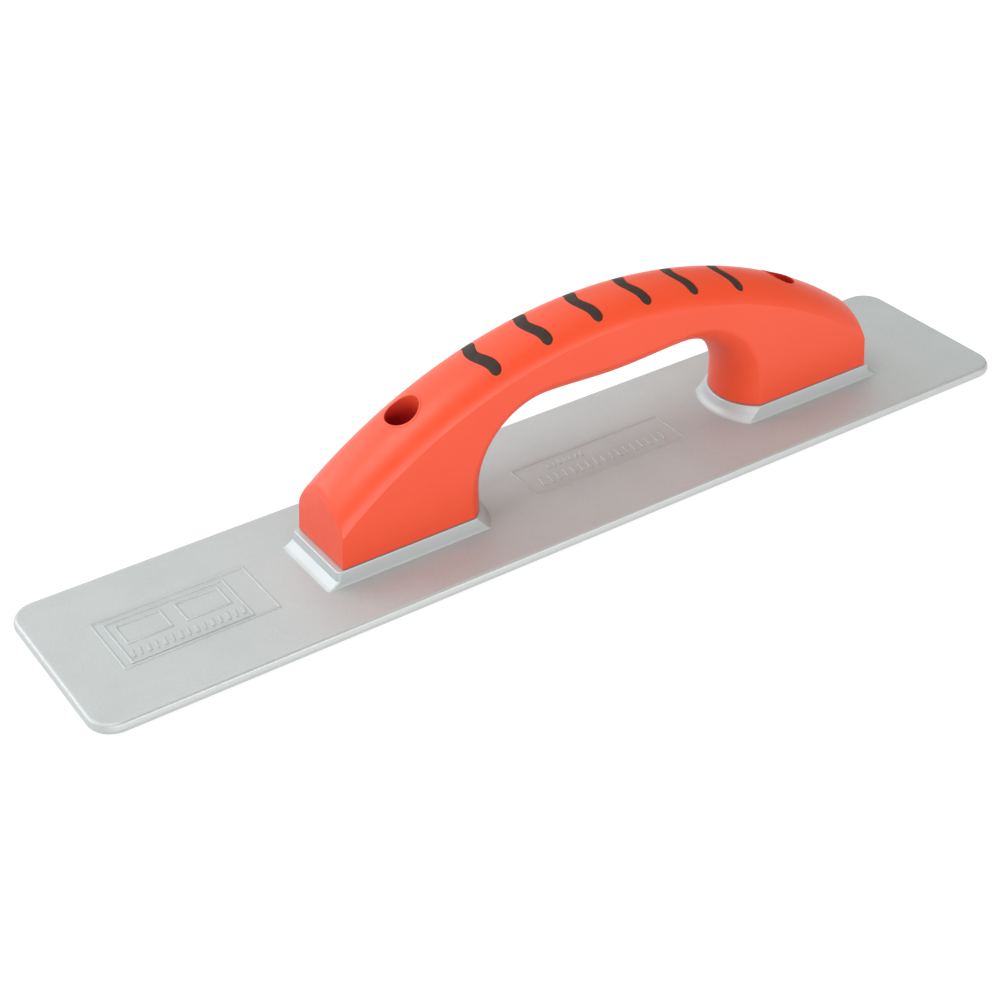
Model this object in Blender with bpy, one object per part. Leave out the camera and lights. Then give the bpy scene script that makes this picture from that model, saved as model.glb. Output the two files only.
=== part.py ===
"""Magnesium hand float: a cast blade with two pads, and an arch handle screwed down to them.

The frame is in metres, with +X along the blade, +Z up, and the origin at the middle of the
blade's working face. The handle is built in its own frame, whose origin is below its middle.
"""

import math

import bmesh
import bpy
from mathutils import Vector

# Blade
BLADE_LENGTH = 0.4064
BLADE_WIDTH = 0.0794
BLADE_THICKNESS = 0.0046
BLADE_CORNER_RADIUS = 0.0100
EDGE_TOP_RADIUS = 0.0019
EDGE_BOTTOM_RADIUS = 0.0024

# Cast frames that stand on the blade, each as (middle x, length, width)
FRAMES = ((-0.1524, 0.0600, 0.0300), (0.0254, 0.0716, 0.0200))
FRAME_LINE = 0.0009
FRAME_HEIGHT = 0.00025

# Pads that carry the handle, in the handle's frame
HANDLE_SHIFT = 0.0254
PAD_TOP = 0.0106
PAD_EMBED = 0.0010
PAD_OUTER_END = 0.1260
PAD_OUTER_DRAFT = 0.0012
PAD_OUTER_FILLET = 0.0036
PAD_HALF_WIDTH = 0.0164
PAD_SIDE_DRAFT = 0.0005
PAD_SIDE_FILLET = 0.0005
PAD_INNER_CORNER = 0.0676
PAD_INNER_FLARE = 0.0054
PAD_INNER_RISE = 0.0090
PAD_BASE_RISE = 0.0050
PAD_CORNER_RADIUS = 0.0016
PAD_WALL_LEVELS = 3
PAD_FILLET_LEVELS = 4

# Handle, outer surface
FOOT_Z = 0.0109
HANDLE_HALF_LENGTH = 0.1237
END_DRAFT = math.radians(4.0)
FOOT_HALF_WIDTH = 0.0158
SIDE_DRAFT = math.radians(1.0)
CREST_CREASE_Z = 0.0679
CREST_RADIUS = 0.1908
CROWN_RISE = 0.0085
CROWN_HALF_ANGLE = math.radians(70)
GAP_HALF_LENGTH = 0.0681
GAP_ARC_RADIUS = 0.0360
GAP_ARC_CENTRE_Z = 0.0185
GAP_BELLY_DROP = 0.0013
INNER_CROWN_RISE = 0.0087
INNER_CROWN_HALF_ANGLE = math.radians(57.7)

# Handle, layers
GRIP_WALL = 0.0027
CORE_INSET = 0.0030
CORE_WALL = 0.0026
POCKET_TOP_Z = 0.0210
BOSS_RADIUS = 0.0070
RIB_WIDTH = 0.0022

# Stripes let into the crown
STRIPE_COUNT = 6
STRIPE_PITCH = 0.0223
STRIPE_HALF_SPAN = 0.0096
STRIPE_HALF_WIDTH = 0.00220
STRIPE_WAVE = 0.0016
STRIPE_SHIFT = 0.0004
STRIPE_WAVELENGTH = 0.0200
STRIPE_DEPTH = 0.0012
GROOVE_DEPTH = 0.0015
GROOVE_CLEARANCE = 0.00015
STRIPE_LOW_Z = 0.0575

# Screws, washers and their holes
SCREW_X = 0.0873
COUNTERBORE_RADIUS = 0.0063
LINING_RADIUS = 0.0083
LINING_CLEARANCE = 0.0003
SEAT_Z = 0.0274
JOINT_GAP = 0.0003
WASHER_THICKNESS = 0.0010
WASHER_OUTER_RADIUS = 0.00525
WASHER_HOLE_RADIUS = 0.00280
SCREW_LENGTH = 0.0254
SCREW_RADIUS = 0.0024
SCREW_HEAD_RADIUS = 0.00475
SCREW_HEAD_HEIGHT = 0.0032
RECESS_DEPTH = 0.0020
RECESS_HALF_LENGTH = 0.0025
RECESS_HALF_WIDTH = 0.0006
CORE_HOLE_RADIUS = 0.0028
PAD_HOLE_RADIUS = 0.0028
PAD_HOLE_FLOOR_Z = 0.0030

# Facets
CROWN_STEPS = 14
INNER_CROWN_STEPS = 10
ARCH_STATIONS = 18
ROUND_STEPS = 24
ARCH_END_ANGLE = math.radians(47)
ABOVE_ALL_Z = 0.0900
BELOW_FOOT = 0.0060


def clear_scene():
    for obj in list(bpy.data.objects):
        bpy.data.objects.remove(obj, do_unlink=True)


def make_material(name, colour, roughness, metallic):
    material = bpy.data.materials.new(name)
    material.use_nodes = True
    shader = material.node_tree.nodes["Principled BSDF"]
    shader.inputs["Base Color"].default_value = (*colour, 1.0)
    shader.inputs["Roughness"].default_value = roughness
    shader.inputs["Metallic"].default_value = metallic
    return material


def add_object(name, bm, material=None, parent=None, smooth_angle=32):
    """Turns the bmesh into a named object, with its faces pointing out."""
    bmesh.ops.recalc_face_normals(bm, faces=bm.faces)
    mesh = bpy.data.meshes.new(name)
    bm.to_mesh(mesh)
    bm.free()
    if mesh.polygons:
        mesh.shade_smooth()
        mesh.set_sharp_from_angle(angle=math.radians(smooth_angle))
    obj = bpy.data.objects.new(name, mesh)
    bpy.context.scene.collection.objects.link(obj)
    obj.parent = parent
    if material:
        mesh.materials.append(material)
    return obj


def add_cutter(name, bm, parent=None):
    cutter = add_object(name, bm, parent=parent)
    cutter.hide_render = True
    cutter.display_type = "WIRE"
    return cutter


def combine(obj, other, operation):
    modifier = obj.modifiers.new(f"{operation.lower()}_{other.name}", "BOOLEAN")
    modifier.object = other
    modifier.operation = operation
    modifier.solver = "EXACT"


def loft(rings):
    """Joins closed rings of equal length by quads, and caps the first and the last."""
    bm = bmesh.new()
    made = [[bm.verts.new(point) for point in ring] for ring in rings]
    count = len(made[0])
    for lower, upper in zip(made, made[1:]):
        for i in range(count):
            j = (i + 1) % count
            bm.faces.new((lower[i], lower[j], upper[j], upper[i]))
    bm.faces.new(made[0])
    bm.faces.new(made[-1])
    return bm


def cut_flat(bm, point, normal):
    """Removes everything on the normal's side of a plane, and closes the cut."""
    geometry = bm.verts[:] + bm.edges[:] + bm.faces[:]
    bmesh.ops.bisect_plane(bm, geom=geometry, plane_co=point, plane_no=normal, clear_outer=True)
    bmesh.ops.holes_fill(bm, edges=[edge for edge in bm.edges if edge.is_boundary])


def box(size, centre):
    bm = bmesh.new()
    bmesh.ops.create_cube(bm, size=1.0)
    bmesh.ops.scale(bm, vec=size, verts=bm.verts)
    bmesh.ops.translate(bm, vec=centre, verts=bm.verts)
    return bm


def cylinder(radius, low_z, high_z, x=0.0, steps=ROUND_STEPS):
    bm = bmesh.new()
    bmesh.ops.create_cone(
        bm, cap_ends=True, segments=steps, radius1=radius, radius2=radius, depth=high_z - low_z
    )
    bmesh.ops.translate(bm, vec=(x, 0, (low_z + high_z) / 2), verts=bm.verts)
    return bm


def turned(profile, steps=ROUND_STEPS):
    """Spins an open profile of (radius, z) points, whose ends lie on the Z axis, into a solid."""
    bm = bmesh.new()
    points = [bm.verts.new((radius, 0, z)) for radius, z in profile]
    edges = [bm.edges.new(pair) for pair in zip(points, points[1:])]
    bmesh.ops.spin(
        bm, geom=points + edges, cent=(0, 0, 0), axis=(0, 0, 1), angle=math.tau, steps=steps,
        use_duplicate=False,
    )
    bmesh.ops.remove_doubles(bm, verts=bm.verts, dist=1e-6)
    return bm


def arc_points(centre, radius, start, end, steps):
    return [
        (
            centre[0] + radius * math.cos(start + (end - start) * i / steps),
            centre[1] + radius * math.sin(start + (end - start) * i / steps),
        )
        for i in range(steps + 1)
    ]


# Blade ------------------------------------------------------------------------------------------


def rim_edges(bm, z):
    """The outline edges of the flat face at height z."""
    flat = [f for f in bm.faces if all(abs(v.co.z - z) < 1e-7 for v in f.verts)]
    return [edge for face in flat for edge in face.edges]


def blade_slab():
    bm = box(
        (BLADE_LENGTH, BLADE_WIDTH, BLADE_THICKNESS), (0, 0, BLADE_THICKNESS / 2)
    )
    upright = [e for e in bm.edges if abs(e.verts[0].co.z - e.verts[1].co.z) > 1e-6]
    bmesh.ops.bevel(
        bm, geom=upright, offset=BLADE_CORNER_RADIUS, segments=8, profile=0.5, affect="EDGES"
    )
    for z, radius in ((BLADE_THICKNESS, EDGE_TOP_RADIUS), (0.0, EDGE_BOTTOM_RADIUS)):
        bmesh.ops.bevel(
            bm, geom=rim_edges(bm, z), offset=radius, segments=4, profile=0.5, affect="EDGES"
        )
    return bm


def pad_outline(z):
    """The right pad's outline at height z, anticlockwise, in the handle's frame."""
    height = PAD_TOP - BLADE_THICKNESS
    down = min((PAD_TOP - z) / height, 1.0)
    above = max(z - BLADE_THICKNESS, 0.0)

    def foot(radius):
        """How far a concave fillet of this radius reaches out at height z."""
        rise = max(radius - above, 0.0)
        return radius - math.sqrt(max(radius * radius - rise * rise, 0.0))

    outer = PAD_OUTER_END + PAD_OUTER_DRAFT * down + foot(PAD_OUTER_FILLET)
    side = PAD_HALF_WIDTH + PAD_SIDE_DRAFT * down + foot(PAD_SIDE_FILLET)
    inner = PAD_INNER_CORNER - PAD_INNER_FLARE * down
    rise = PAD_INNER_RISE + (PAD_BASE_RISE - PAD_INNER_RISE) * down + foot(PAD_OUTER_FILLET) / 2
    radius = PAD_CORNER_RADIUS
    near = arc_points((outer - radius, -side + radius), radius, -math.pi / 2, 0, 4)
    far = arc_points((outer - radius, side - radius), radius, 0, math.pi / 2, 4)
    arc_radius = (side * side + rise * rise) / (2 * rise)
    half = math.asin(side / arc_radius)
    centre = (inner - rise + arc_radius, 0)
    end = arc_points(centre, arc_radius, math.pi - half, math.pi + half, 12)
    return near + far + end


def pad_levels():
    fillet_top = BLADE_THICKNESS + PAD_OUTER_FILLET
    walls = [
        PAD_TOP + (fillet_top - PAD_TOP) * i / PAD_WALL_LEVELS for i in range(PAD_WALL_LEVELS)
    ]
    turns = [math.pi / 2 * i / PAD_FILLET_LEVELS for i in range(PAD_FILLET_LEVELS + 1)]
    fillets = [fillet_top - PAD_OUTER_FILLET * math.sin(turn) for turn in turns]
    return walls + fillets + [BLADE_THICKNESS - PAD_EMBED]


def pad_block(side):
    rings = [
        [(HANDLE_SHIFT + side * x, side * y, z) for x, y in pad_outline(z)] for z in pad_levels()
    ]
    return loft(rings)


def frame_ridge(middle, length, width):
    """A raised rectangular line, drafted, and let slightly into the blade."""
    bm = bmesh.new()
    rings = []
    low = BLADE_THICKNESS - FRAME_HEIGHT
    high = BLADE_THICKNESS + FRAME_HEIGHT
    for inset, z in (
        (0, low), (FRAME_LINE / 4, high), (FRAME_LINE * 3 / 4, high), (FRAME_LINE, low),
    ):
        x = length / 2 - inset
        y = width / 2 - inset
        corners = ((-x, -y), (x, -y), (x, y), (-x, y))
        rings.append([bm.verts.new((middle + cx, cy, z)) for cx, cy in corners])
    for first, second in zip(rings, rings[1:] + rings[:1]):
        for i in range(4):
            j = (i + 1) % 4
            bm.faces.new((first[i], first[j], second[j], second[i]))
    return bm


def build_blade(material, root):
    blade = add_object("float_blade", blade_slab(), material, root)
    for name, side in (("front", -1), ("rear", 1)):
        pad = add_cutter(f"pad_{name}", pad_block(side), root)
        combine(blade, pad, "UNION")
    for index, frame in enumerate(FRAMES):
        ridge = add_cutter(f"cast_frame_{index + 1}", frame_ridge(*frame), root)
        combine(blade, ridge, "UNION")
    for name, side in (("front", -1), ("rear", 1)):
        hole = cylinder(PAD_HOLE_RADIUS, PAD_HOLE_FLOOR_Z, FOOT_Z, HANDLE_SHIFT + side * SCREW_X)
        combine(blade, add_cutter(f"tapped_hole_{name}", hole, root), "DIFFERENCE")
    return blade


# Handle -----------------------------------------------------------------------------------------


def half_width(z, inset):
    return FOOT_HALF_WIDTH - math.tan(SIDE_DRAFT) * (z - FOOT_Z) - inset


def crest_station(share, inset):
    """Crease point and outward normal on the handle's back, in XZ. share runs from -1 to 1."""
    angle = ARCH_END_ANGLE * share
    normal = Vector((math.sin(angle), math.cos(angle)))
    centre = Vector((0, CREST_CREASE_Z - CREST_RADIUS))
    return centre + normal * (CREST_RADIUS - inset), normal


def gap_station(share, inset):
    """Crease point and outward normal on the finger opening, in XZ. share runs from -1 to 1."""
    arc_x = GAP_HALF_LENGTH - GAP_ARC_RADIUS
    belly_end, arc_end = 0.30, 0.82
    side = 1 if share >= 0 else -1
    along = abs(share)
    if along < belly_end:
        x = arc_x * along / belly_end
        drop = GAP_BELLY_DROP * (1 + math.cos(math.pi * x / arc_x)) / 2
        point = Vector((x, GAP_ARC_CENTRE_Z + GAP_ARC_RADIUS - drop))
        normal = Vector((0, -1))
    elif along < arc_end:
        turn = math.pi / 2 * (along - belly_end) / (arc_end - belly_end)
        normal = Vector((-math.sin(turn), -math.cos(turn)))
        point = Vector((arc_x, GAP_ARC_CENTRE_Z)) - normal * GAP_ARC_RADIUS
    else:
        fall = (along - arc_end) / (1 - arc_end)
        end_z = FOOT_Z - BELOW_FOOT
        point = Vector((GAP_HALF_LENGTH, GAP_ARC_CENTRE_Z + (end_z - GAP_ARC_CENTRE_Z) * fall))
        normal = Vector((-1, 0))
    point = point - normal * inset
    return Vector((side * point.x, point.y)), Vector((side * normal.x, normal.y))


def crown(point, normal, rise, half_angle, steps, inset):
    """An arched line across the handle, from its near crease to its far one."""
    width = half_width(point.y, inset)
    across = width / math.sin(half_angle)
    up = rise / (1 - math.cos(half_angle))
    line = []
    for i in range(steps + 1):
        angle = half_angle * (2 * i / steps - 1)
        lift = up * (math.cos(angle) - math.cos(half_angle))
        place = point + normal * lift
        line.append((place.x, across * math.sin(angle), place.y))
    return line


def arch(inset):
    """The handle's outer form, moved in by inset all over and left long at its feet and ends."""
    rings = []
    for i in range(-ARCH_STATIONS, ARCH_STATIONS + 1):
        share = i / ARCH_STATIONS
        crest, outward = crest_station(share, inset)
        gap, into_gap = gap_station(share, inset)
        back = crown(crest, outward, CROWN_RISE, CROWN_HALF_ANGLE, CROWN_STEPS, inset)
        front = crown(
            gap, into_gap, INNER_CROWN_RISE, INNER_CROWN_HALF_ANGLE, INNER_CROWN_STEPS, inset
        )
        rings.append(back + front[::-1])
    bm = loft(rings)
    for side in (-1, 1):
        normal = (side * math.cos(END_DRAFT), 0, math.sin(END_DRAFT))
        cut_flat(bm, (side * (HANDLE_HALF_LENGTH - inset), 0, FOOT_Z), normal)
    return bm


def footed_arch(inset, foot_z):
    bm = arch(inset)
    cut_flat(bm, (0, 0, foot_z), (0, 0, -1))
    return bm


def stripe_line(y):
    return -STRIPE_WAVE * math.cos(math.tau * y / STRIPE_WAVELENGTH)


def stripe_prism(middle, clearance):
    """A wavy bar with round ends, as seen from above, tall enough to pass through the crown."""
    half = STRIPE_HALF_WIDTH + clearance
    steps = 16
    left = []
    right = []
    for i in range(steps + 1):
        y = STRIPE_HALF_SPAN * (2 * i / steps - 1)
        slope = (stripe_line(y + 1e-5) - stripe_line(y - 1e-5)) / 2e-5
        length = math.hypot(slope, 1)
        across = Vector((1, -slope)) / length
        spot = Vector((middle + stripe_line(y), y))
        left.append(spot - across * half)
        right.append(spot + across * half)
    ends = []
    for start, finish in ((left[0], right[0]), (right[-1], left[-1])):
        centre = (start + finish) / 2
        first = math.atan2(start.y - centre.y, start.x - centre.x)
        turns = arc_points(centre, half, first, first + math.pi, 8)
        ends.append([Vector(turn) for turn in turns[1:-1]])
    outline = left[::-1] + ends[0] + right + ends[1]
    levels = (STRIPE_LOW_Z, ABOVE_ALL_Z)
    return loft([[(point.x, point.y, z) for point in outline] for z in levels])


def stripe_middles():
    return [
        STRIPE_SHIFT + STRIPE_PITCH * (i - (STRIPE_COUNT - 1) / 2) for i in range(STRIPE_COUNT)
    ]


def build_grip(material, axis):
    """The soft skin: a shell round the core, which also lines both counterbores."""
    grip = add_object("handle_grip", footed_arch(0, FOOT_Z), material, axis)
    cavity = add_cutter("core_space", footed_arch(GRIP_WALL, FOOT_Z - BELOW_FOOT / 2), axis)
    for name, side in (("front", -1), ("rear", 1)):
        lining = cylinder(LINING_RADIUS, SEAT_Z + JOINT_GAP, ABOVE_ALL_Z, side * SCREW_X)
        combine(cavity, add_cutter(f"lining_{name}", lining, axis), "DIFFERENCE")
    combine(grip, cavity, "DIFFERENCE")
    for name, side in (("front", -1), ("rear", 1)):
        mouth = cylinder(COUNTERBORE_RADIUS, FOOT_Z, ABOVE_ALL_Z, side * SCREW_X, 32)
        combine(grip, add_cutter(f"counterbore_{name}", mouth, axis), "DIFFERENCE")
    floor = add_cutter("groove_floor", footed_arch(GROOVE_DEPTH, FOOT_Z), axis)
    for index, middle in enumerate(stripe_middles()):
        groove = add_cutter(f"groove_{index + 1}", stripe_prism(middle, GROOVE_CLEARANCE), axis)
        combine(groove, floor, "DIFFERENCE")
        combine(grip, groove, "DIFFERENCE")
    return grip


def build_stripes(material, axis):
    """Soft bars that fill the grooves and follow the crown."""
    skin = add_cutter("stripe_skin", footed_arch(0, FOOT_Z), axis)
    floor = add_cutter("stripe_floor", footed_arch(STRIPE_DEPTH, FOOT_Z), axis)
    for index, middle in enumerate(stripe_middles()):
        stripe = add_object(f"grip_stripe_{index + 1}", stripe_prism(middle, 0), material, axis)
        combine(stripe, skin, "INTERSECT")
        combine(stripe, floor, "DIFFERENCE")


def leg_pocket():
    """The hollow inside both of the core's feet, as far up as POCKET_TOP_Z."""
    bm = footed_arch(CORE_INSET + CORE_WALL, FOOT_Z - BELOW_FOOT / 2)
    cut_flat(bm, (0, 0, POCKET_TOP_Z), (0, 0, 1))
    return bm


def build_core(material, axis):
    """The hard arch inside the grip, with cored feet, a boss at each screw and a rib through it."""
    core = add_object("handle_core", footed_arch(CORE_INSET, FOOT_Z), material, axis)
    pocket = add_cutter("leg_pockets", leg_pocket(), axis)
    height = POCKET_TOP_Z - FOOT_Z + BELOW_FOOT
    middle_z = (POCKET_TOP_Z + FOOT_Z) / 2
    rib = box((2 * HANDLE_HALF_LENGTH, RIB_WIDTH, height), (0, 0, middle_z))
    combine(pocket, add_cutter("rib", rib, axis), "DIFFERENCE")
    for name, side in (("front", -1), ("rear", 1)):
        x = side * SCREW_X
        boss = cylinder(BOSS_RADIUS, FOOT_Z - BELOW_FOOT, POCKET_TOP_Z + BELOW_FOOT, x)
        combine(pocket, add_cutter(f"boss_{name}", boss, axis), "DIFFERENCE")
    combine(core, pocket, "DIFFERENCE")
    for name, side in (("front", -1), ("rear", 1)):
        x = side * SCREW_X
        bore = cylinder(LINING_RADIUS + LINING_CLEARANCE, SEAT_Z, ABOVE_ALL_Z, x)
        combine(core, add_cutter(f"core_bore_{name}", bore, axis), "DIFFERENCE")
        shank = cylinder(CORE_HOLE_RADIUS, FOOT_Z - BELOW_FOOT, SEAT_Z + BELOW_FOOT, x)
        combine(core, add_cutter(f"core_hole_{name}", shank, axis), "DIFFERENCE")
    return core


# Fasteners --------------------------------------------------------------------------------------


def washer_ring():
    """A flat washer, whose lower face is at z = 0."""
    bm = bmesh.new()
    corners = (
        (WASHER_HOLE_RADIUS, 0), (WASHER_OUTER_RADIUS, 0),
        (WASHER_OUTER_RADIUS, WASHER_THICKNESS), (WASHER_HOLE_RADIUS, WASHER_THICKNESS),
    )
    points = [bm.verts.new((radius, 0, z)) for radius, z in corners]
    edges = [bm.edges.new((points[i], points[(i + 1) % 4])) for i in range(4)]
    bmesh.ops.spin(
        bm, geom=points + edges, cent=(0, 0, 0), axis=(0, 0, 1), angle=math.tau,
        steps=ROUND_STEPS, use_duplicate=False,
    )
    bmesh.ops.remove_doubles(bm, verts=bm.verts, dist=1e-6)
    return bm


def screw_body():
    """A pan-head screw, whose head rests on z = 0."""
    top = SCREW_HEAD_HEIGHT
    dome = [
        (SCREW_HEAD_RADIUS * math.sin(a), top * (0.45 + 0.55 * math.cos(a)))
        for a in (math.pi / 2 * i / 5 for i in range(6))
    ]
    tip = SCREW_RADIUS * 0.35
    profile = dome + [
        (SCREW_HEAD_RADIUS, 0), (SCREW_RADIUS, 0), (SCREW_RADIUS, tip - SCREW_LENGTH),
        (SCREW_RADIUS - tip, -SCREW_LENGTH), (0, -SCREW_LENGTH),
    ]
    return turned(profile)


def recess_cutter(turn):
    """One arm pair of the cross recess, narrowing towards its floor."""
    rings = []
    for z, shrink in (
        (SCREW_HEAD_HEIGHT - RECESS_DEPTH, 0.45), (SCREW_HEAD_HEIGHT + RECESS_DEPTH, 1.55),
    ):
        x = RECESS_HALF_LENGTH * shrink
        y = RECESS_HALF_WIDTH * (0.5 + shrink / 2)
        corners = ((-x, -y), (x, -y), (x, y), (-x, y))
        rings.append(
            [
                (
                    px * math.cos(turn) - py * math.sin(turn),
                    px * math.sin(turn) + py * math.cos(turn),
                    z,
                )
                for px, py in corners
            ]
        )
    return loft(rings)


def build_fasteners(material, axis):
    washer_z = SEAT_Z + JOINT_GAP
    head_z = washer_z + WASHER_THICKNESS + JOINT_GAP
    for name, side in (("front", -1), ("rear", 1)):
        washer = add_object(f"screw_washer_{name}", washer_ring(), material, axis)
        washer.location = (side * SCREW_X, 0, washer_z)
        screw = add_object(f"handle_screw_{name}", screw_body(), material, axis)
        screw.location = (side * SCREW_X, 0, head_z)
        for arm, turn in (("a", math.radians(30)), ("b", math.radians(120))):
            cutter = add_cutter(f"recess_{name}_{arm}", recess_cutter(turn), axis)
            cutter.location = screw.location
            combine(screw, cutter, "DIFFERENCE")


def main():
    clear_scene()
    magnesium = make_material("cast_magnesium", (0.60, 0.61, 0.61), 0.42, 1.0)
    skin = make_material("orange_grip", (0.95, 0.13, 0.05), 0.48, 0.0)
    hard = make_material("black_core", (0.03, 0.03, 0.03), 0.45, 0.0)
    soft = make_material("black_stripe", (0.05, 0.045, 0.04), 0.60, 0.0)
    steel = make_material("zinc_steel", (0.55, 0.55, 0.56), 0.30, 1.0)

    root = bpy.data.objects.new("blade_axis", None)
    bpy.context.scene.collection.objects.link(root)
    handle_axis = bpy.data.objects.new("handle_axis", None)
    bpy.context.scene.collection.objects.link(handle_axis)
    handle_axis.parent = root
    handle_axis.location = (HANDLE_SHIFT, 0, 0)

    build_blade(magnesium, root)
    build_core(hard, handle_axis)
    build_grip(skin, handle_axis)
    build_stripes(soft, handle_axis)
    build_fasteners(steel, handle_axis)


main()
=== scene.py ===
"""The look of the magnesium hand float: its cast blade, orange grip, stripes, screws and materials.

Lengths are in metres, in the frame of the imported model: +X along the blade, +Z up, and the origin
in the middle of the blade's working face. The pads and the handle are laid out about the handle's
own middle, HANDLE_SHIFT further along X.
"""

import math

import bmesh
import bpy
from mathutils import Matrix, Vector


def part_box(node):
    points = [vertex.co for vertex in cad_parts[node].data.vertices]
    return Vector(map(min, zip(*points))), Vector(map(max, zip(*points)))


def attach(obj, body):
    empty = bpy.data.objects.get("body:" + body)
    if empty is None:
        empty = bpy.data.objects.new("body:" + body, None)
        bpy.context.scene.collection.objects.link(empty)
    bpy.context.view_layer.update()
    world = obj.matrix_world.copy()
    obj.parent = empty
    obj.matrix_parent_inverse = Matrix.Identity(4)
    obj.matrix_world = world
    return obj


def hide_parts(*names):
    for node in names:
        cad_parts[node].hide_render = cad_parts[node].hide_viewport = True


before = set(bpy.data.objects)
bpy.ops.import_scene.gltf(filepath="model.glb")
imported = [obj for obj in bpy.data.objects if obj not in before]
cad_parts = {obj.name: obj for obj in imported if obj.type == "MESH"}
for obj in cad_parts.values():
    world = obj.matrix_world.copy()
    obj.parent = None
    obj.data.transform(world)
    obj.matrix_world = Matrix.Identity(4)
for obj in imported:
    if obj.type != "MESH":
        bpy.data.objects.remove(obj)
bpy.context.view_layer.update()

# Sizes that the frame gives
BLADE_LOW, BLADE_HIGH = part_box("float_blade")
GRIP_LOW, GRIP_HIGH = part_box("handle_grip")
WASHER_LOW, WASHER_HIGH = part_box("screw_washer_rear")
SCREW_LOW, SCREW_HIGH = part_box("handle_screw_rear")
BLADE_LENGTH = BLADE_HIGH.x - BLADE_LOW.x
BLADE_WIDTH = BLADE_HIGH.y - BLADE_LOW.y
HANDLE_SHIFT = (GRIP_LOW.x + GRIP_HIGH.x) / 2
PAD_TOP = BLADE_HIGH.z
FOOT_Z = GRIP_LOW.z
HANDLE_HALF_LENGTH = (GRIP_HIGH.x - GRIP_LOW.x) / 2
FOOT_HALF_WIDTH = (GRIP_HIGH.y - GRIP_LOW.y) / 2
CREST_TOP_Z = GRIP_HIGH.z
SCREW_X = (SCREW_LOW.x + SCREW_HIGH.x) / 2 - HANDLE_SHIFT

# Blade. A frame is (middle x, middle y, length, width).
BLADE_THICKNESS = 0.0046
CORNER_RADIUS = 0.0100
RIM_TOP_RADIUS = 0.0014
RIM_BOTTOM_RADIUS = 0.0022
RIM_SIDE_DRAFT = 0.0003
SEAM_Z = 0.0024
SEAM_DEPTH = 0.00002
SEAM_HALF_HEIGHT = 0.0001
RIDGE_WIDTH = 0.0013
RIDGE_HEIGHT = 0.00042
RIDGE_STOPS = (0, 0.12, 0.32, 0.5, 0.68, 0.88, 1)  # shares of the width, closer on the flanks
LEFT_FRAME = (-0.1524, 0.0, 0.0600, 0.0300)
MIDDLE_FRAME = (0.0254, 0.0, 0.0716, 0.0200)
INNER_FRAME_SHIFT = (-0.0030, -0.0007)
INNER_FRAME_TRIM = (0.0130, 0.0045)
PANEL_SHIFTS = ((-0.0145, 0.0030), (0.0080, 0.0030))
PANEL_SIZE = (0.0180, 0.0120)

# Rows of bars on the blade. A row is (shift from its frame's middle, count, pitch, height).
LEFT_ROW = ((-0.0030, -0.0085), 15, 0.0030, 0.0040)
MIDDLE_ROWS = (((0.0, -0.0030), 17, 0.0036, 0.0050), ((-0.0130, 0.0048), 7, 0.0026, 0.0030))
NARROW_BAR, BROAD_BAR = 0.32, 0.5  # shares of the pitch
BAR_LEAN = 0.0006
BAR_FLARE = 0.00015
BAR_TAPER = 0.00018

# Pads
PAD_OUTER_END = 0.1260
PAD_OUTER_DRAFT = 0.0012
PAD_FOOT_REACH = 0.0036
PAD_FOOT_RISE = 0.0024
PAD_HALF_WIDTH = 0.0164
PAD_SIDE_DRAFT = 0.0005
PAD_SIDE_FILLET = 0.0006
PAD_INNER_FILLET = 0.0036
PAD_INNER_CORNER = 0.0676
PAD_INNER_FLARE = 0.0054
PAD_TOP_BOW = 0.0090
PAD_BASE_BOW = 0.0050
PAD_CORNER_RADIUS = 0.0016
PAD_RIM_RADIUS = 0.0004
PAD_EMBED = 0.0010
PAD_HOLE_RADIUS = 0.0028
PAD_HOLE_FLOOR_Z = 0.0030

# Handle
END_DRAFT = math.radians(4.0)
SIDE_DRAFT = math.radians(1.0)
CROWN_RISE = 0.0085
CROWN_HALF_ANGLE = math.radians(70)
CREST_RADIUS = 0.1908
CREST_CENTRE_Z = CREST_TOP_Z - CROWN_RISE - CREST_RADIUS
CREST_END_RANGE = (0.3, 1.1)  # radians along the crest that the handle's ends lie between
GAP_HALF_LENGTH = 0.0681
GAP_ARC_RADIUS = 0.0360
GAP_ARC_CENTRE_Z = 0.0185
GAP_BELLY_DROP = 0.0013
INNER_CROWN_RISE = 0.0087
INNER_CROWN_HALF_ANGLE = math.radians(57.7)
GRIP_WALL = 0.0027
CREASE_ROUND = 0.00014
GAP_CREASE_ROUND = 0.0009
END_ROUND = 0.0003
END_CROWN_ROUND = 0.0022
ROLL_STEPS = 6
COUNTERBORE_RADIUS = 0.0063
LINING_RADIUS = 0.0083
LIP_WIDTH = 0.0008
LIP_HEIGHT = 0.00022
LIP_OVERLAP = 0.00004
CAVITY_OVERRUN = 0.003  # how far a cutter passes the face that it opens
BORE_OVERRUN = 0.01
GROOVE_OVERRUN = 0.001

# Stripes
STRIPE_COUNT = 6
STRIPE_PITCH = 0.0223
STRIPE_HALF_SPAN = 0.0096
STRIPE_HALF_WIDTH = 0.00220
STRIPE_WAVE = 0.0016
STRIPE_SHIFT = 0.0004
STRIPE_WAVELENGTH = 0.0200
STRIPE_DEPTH = 0.0012
STRIPE_SINK = 0.00002
STRIPE_DOME = 0.00016
GROOVE_DEPTH = 0.0015
GROOVE_CLEARANCE = 0.0001

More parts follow.
